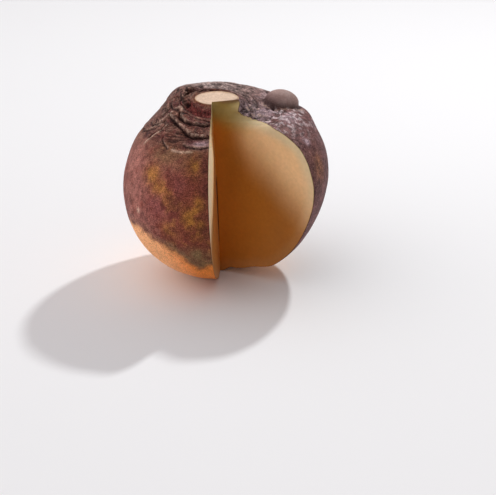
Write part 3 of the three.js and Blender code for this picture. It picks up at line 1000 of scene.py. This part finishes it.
# ---- Materials ----
def new_material(name, roughness, specular):
    material = bpy.data.materials.new(name)
    material.use_nodes = True
    shader = material.node_tree.nodes["Principled BSDF"]
    shader.inputs["Roughness"].default_value = roughness
    shader.inputs["Specular IOR Level"].default_value = specular
    return material, material.node_tree, shader


def add_noise(tree, scale, detail, vector=None):
    """Noise over a vector, or over the object's own metres."""
    if vector is None:
        vector = tree.nodes.new("ShaderNodeTexCoord").outputs["Object"]
    node = tree.nodes.new("ShaderNodeTexNoise")
    node.inputs["Scale"].default_value = scale
    node.inputs["Detail"].default_value = detail
    tree.links.new(vector, node.inputs["Vector"])
    return node.outputs["Fac"]


def add_math(tree, operation, *values):
    node = tree.nodes.new("ShaderNodeMath")
    node.operation = operation
    for socket, value in zip(node.inputs, values):
        if isinstance(value, (int, float)):
            socket.default_value = value
        else:
            tree.links.new(value, socket)
    return node.outputs["Value"]


def add_range(tree, value, from_low, from_high, to_low, to_high):
    node = tree.nodes.new("ShaderNodeMapRange")
    for name, number in (("From Min", from_low), ("From Max", from_high),
                         ("To Min", to_low), ("To Max", to_high)):
        node.inputs[name].default_value = number
    tree.links.new(value, node.inputs["Value"])
    return node.outputs["Result"]


def add_scaled(tree, colour, amount):
    """A colour made lighter or darker."""
    node = tree.nodes.new("ShaderNodeVectorMath")
    node.operation = "SCALE"
    tree.links.new(colour, node.inputs[0])
    tree.links.new(amount, node.inputs["Scale"])
    return node.outputs["Vector"]


def add_mix(tree, share, first, second):
    """Blends a colour socket toward a fixed colour. The node's sockets share their names, so they
    are found by identifier."""
    node = tree.nodes.new("ShaderNodeMix")
    node.data_type = "RGBA"
    inputs = {socket.identifier: socket for socket in node.inputs}
    outputs = {socket.identifier: socket for socket in node.outputs}
    tree.links.new(share, inputs["Factor_Float"])
    tree.links.new(first, inputs["A_Color"])
    inputs["B_Color"].default_value = (*second, 1)
    return outputs["Result_Color"]


def add_bump(tree, shader, height, distance, strength):
    node = tree.nodes.new("ShaderNodeBump")
    node.inputs["Distance"].default_value = distance * MM
    node.inputs["Strength"].default_value = strength
    tree.links.new(height, node.inputs["Height"])
    tree.links.new(node.outputs["Normal"], shader.inputs["Normal"])


def read_attribute(tree, name, output):
    node = tree.nodes.new("ShaderNodeAttribute")
    node.attribute_name = name
    return node.outputs[output]


def painted(tree, attribute, scale, low, high):
    """The painted colour, made lighter and darker by a fine grain."""
    grain = add_range(tree, add_noise(tree, scale, 4), 0.3, 0.7, low, high)
    return add_scaled(tree, read_attribute(tree, attribute, "Color"), grain)


def skin_material():
    """The painted skin with a fine grain and pale flecks, and thin cracks round the collar,
    darkened with painted shade.
    """
    material, tree, shader = new_material("skin", 0.6, 0.1)
    grain_share = read_attribute(tree, "grain", "Fac")
    collar = read_attribute(tree, "collar", "Fac")

    grain = add_range(tree, add_noise(tree, 1500, 6), 0.32, 0.68, -0.6, 0.65)
    grain = add_math(tree, "ADD", add_math(tree, "MULTIPLY", grain, grain_share), 1.0)
    ring = add_noise(tree, 330, 4, read_attribute(tree, "ring", "Vector"))
    off_line = add_math(tree, "ABSOLUTE", add_math(tree, "SUBTRACT", ring, 0.5))
    crack = add_range(tree, off_line, 0.0, 0.035, 1.0, 0.0)
    crack = add_math(tree, "MULTIPLY", crack, collar)
    # Painted shade: the cracks darken the colour to a quarter
    shade = add_math(tree, "MULTIPLY", grain, add_range(tree, crack, 0, 1, 1.0, 0.25))
    colour = add_scaled(tree, read_attribute(tree, "skin_colour", "Color"), shade)

    flecks = add_range(tree, add_noise(tree, 1500, 2), 0.60, 0.70, 0.0, 1.0)
    flecks = add_math(tree, "MULTIPLY", flecks, add_range(tree, collar, 0, 1, 0.08, 0.5))
    tree.links.new(add_mix(tree, flecks, colour, PAPER), shader.inputs["Base Color"])

    height = add_math(tree, "MULTIPLY", add_noise(tree, 1000, 4), grain_share)
    add_bump(tree, shader, add_math(tree, "SUBTRACT", height, crack), 0.3, 0.8)
    return material


def flesh_material():
    """The cut faces: moist, slightly translucent, with a thin dark line along the skin."""
    material, tree, shader = new_material("flesh", 0.42, 0.2)
    shader.inputs["Subsurface Weight"].default_value = 0.2
    shader.inputs["Subsurface Radius"].default_value = (1.0, 0.5, 0.22)
    shader.inputs["Subsurface Scale"].default_value = 4 * MM
    edge = tree.nodes.new("ShaderNodeValToRGB")
    line, clear = edge.color_ramp.elements
    line.position, line.color = 0.15, (*RIND_LINE, 1)
    clear.position, clear.color = 0.65, (1, 1, 1, 1)
    tree.links.new(read_attribute(tree, "depth", "Fac"), edge.inputs["Fac"])
    times = tree.nodes.new("ShaderNodeVectorMath")
    times.operation = "MULTIPLY"
    tree.links.new(painted(tree, "cut_colour", 500, 0.95, 1.05), times.inputs[0])
    tree.links.new(edge.outputs["Color"], times.inputs[1])
    tree.links.new(times.outputs["Vector"], shader.inputs["Base Color"])
    add_bump(tree, shader, add_noise(tree, 700, 3), 0.12, 0.4)
    return material


def stub_material():
    material, tree, shader = new_material("stub_end", 0.7, 0.25)
    tree.links.new(painted(tree, "cut_colour", 1500, 0.72, 1.2), shader.inputs["Base Color"])
    add_bump(tree, shader, add_noise(tree, 1500, 3), 0.3, 0.8)
    return material


def floor_material():
    material, _, shader = new_material("floor", 0.9, 0.2)
    shader.inputs["Base Color"].default_value = (0.86, 0.86, 0.87, 1)
    return material


# ---- Camera, lamp, floor and sky ----
CAMERA_ELEVATION = 20.5
CAMERA_DISTANCE = 873.5
CAMERA_AIM_HEIGHT = 60.0
CAMERA_PITCH = 23.15
CAMERA_PAN = -1.26
CAMERA_LENS = 100.0
SENSOR_WIDTH = 36.0

LAMP_DIRECTION = 56.0
LAMP_ELEVATION = 43.3
LAMP_DISTANCE = 750.0
LAMP_RADIUS = 24.0
LAMP_STRENGTH = 20.8
LAMP_COLOUR = (0.97, 1.0, 1.0)
SKY_COLOUR = (1.0, 0.96, 0.97)
SKY_LOW = 0.27
SKY_HIGH = 1.16
SKY_FROM = (-0.80, 0.08, 0.59)
FLOOR_HALF = 4000.0


def add_camera(crease):
    data = bpy.data.cameras.new("camera")
    data.lens = CAMERA_LENS
    data.sensor_width = SENSOR_WIDTH
    data.clip_start, data.clip_end = 0.01, 20
    camera = bpy.data.objects.new("camera", data)
    rise = math.radians(CAMERA_ELEVATION)
    back = CAMERA_DISTANCE * math.cos(rise)
    up = CAMERA_AIM_HEIGHT + CAMERA_DISTANCE * math.sin(rise)
    camera.location = (crease[0] * MM, (crease[1] - back) * MM, up * MM)
    camera.rotation_euler = (math.radians(90 - CAMERA_PITCH), 0, math.radians(CAMERA_PAN))
    bpy.context.scene.collection.objects.link(camera)
    bpy.context.scene.camera = camera


def add_lamp(crease):
    """A small hard lamp at the back right. It is near, so the shadow spreads, but its light does
    not fall off, so the floor stays even."""
    data = bpy.data.lights.new("lamp", "POINT")
    data.energy = 1
    data.shadow_soft_size = LAMP_RADIUS * MM
    data.use_nodes = True
    tree = data.node_tree
    falloff = tree.nodes.new("ShaderNodeLightFalloff")
    falloff.inputs["Strength"].default_value = LAMP_STRENGTH
    emission = tree.nodes["Emission"]
    emission.inputs["Color"].default_value = (*LAMP_COLOUR, 1)
    tree.links.new(falloff.outputs["Constant"], emission.inputs["Strength"])
    lamp = bpy.data.objects.new("lamp", data)
    turn, rise = math.radians(LAMP_DIRECTION), math.radians(LAMP_ELEVATION)
    away = LAMP_DISTANCE * math.cos(rise)
    lamp.location = (
        (crease[0] + away * math.cos(turn)) * MM, (crease[1] + away * math.sin(turn)) * MM,
        (CAMERA_AIM_HEIGHT + LAMP_DISTANCE * math.sin(rise)) * MM)
    bpy.context.scene.collection.objects.link(lamp)


def add_floor():
    mesh = bpy.data.meshes.new("floor")
    h = FLOOR_HALF * MM
    mesh.from_pydata([(-h, -h, 0), (h, -h, 0), (h, h, 0), (-h, h, 0)], [], [(0, 1, 2, 3)])
    floor = bpy.data.objects.new("floor", mesh)
    floor.data.materials.append(floor_material())
    bpy.context.scene.collection.objects.link(floor)


def add_sky():
    """Soft light, strongest from the upper left."""
    world = bpy.data.worlds.new("sky")
    bpy.context.scene.world = world
    world.use_nodes = True
    tree = world.node_tree
    place = tree.nodes.new("ShaderNodeTexCoord")
    toward = tree.nodes.new("ShaderNodeVectorMath")
    toward.operation = "DOT_PRODUCT"
    toward.inputs[1].default_value = SKY_FROM
    tree.links.new(place.outputs["Generated"], toward.inputs[0])
    level = add_range(tree, toward.outputs["Value"], 0, 1, SKY_LOW, SKY_HIGH)
    level.node.interpolation_type = "SMOOTHSTEP"
    background = tree.nodes["Background"]
    background.inputs["Color"].default_value = (*SKY_COLOUR, 1)
    tree.links.new(level, background.inputs["Strength"])


body, crease_foot = build_body()
for material in (skin_material(), flesh_material(), stub_material()):
    body.data.materials.append(material)
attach(body, "root")
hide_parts("rutabaga")

add_camera(crease_foot)
add_lamp(crease_foot)
add_floor()
add_sky()
bpy.context.scene.view_settings.view_transform = "Standard"
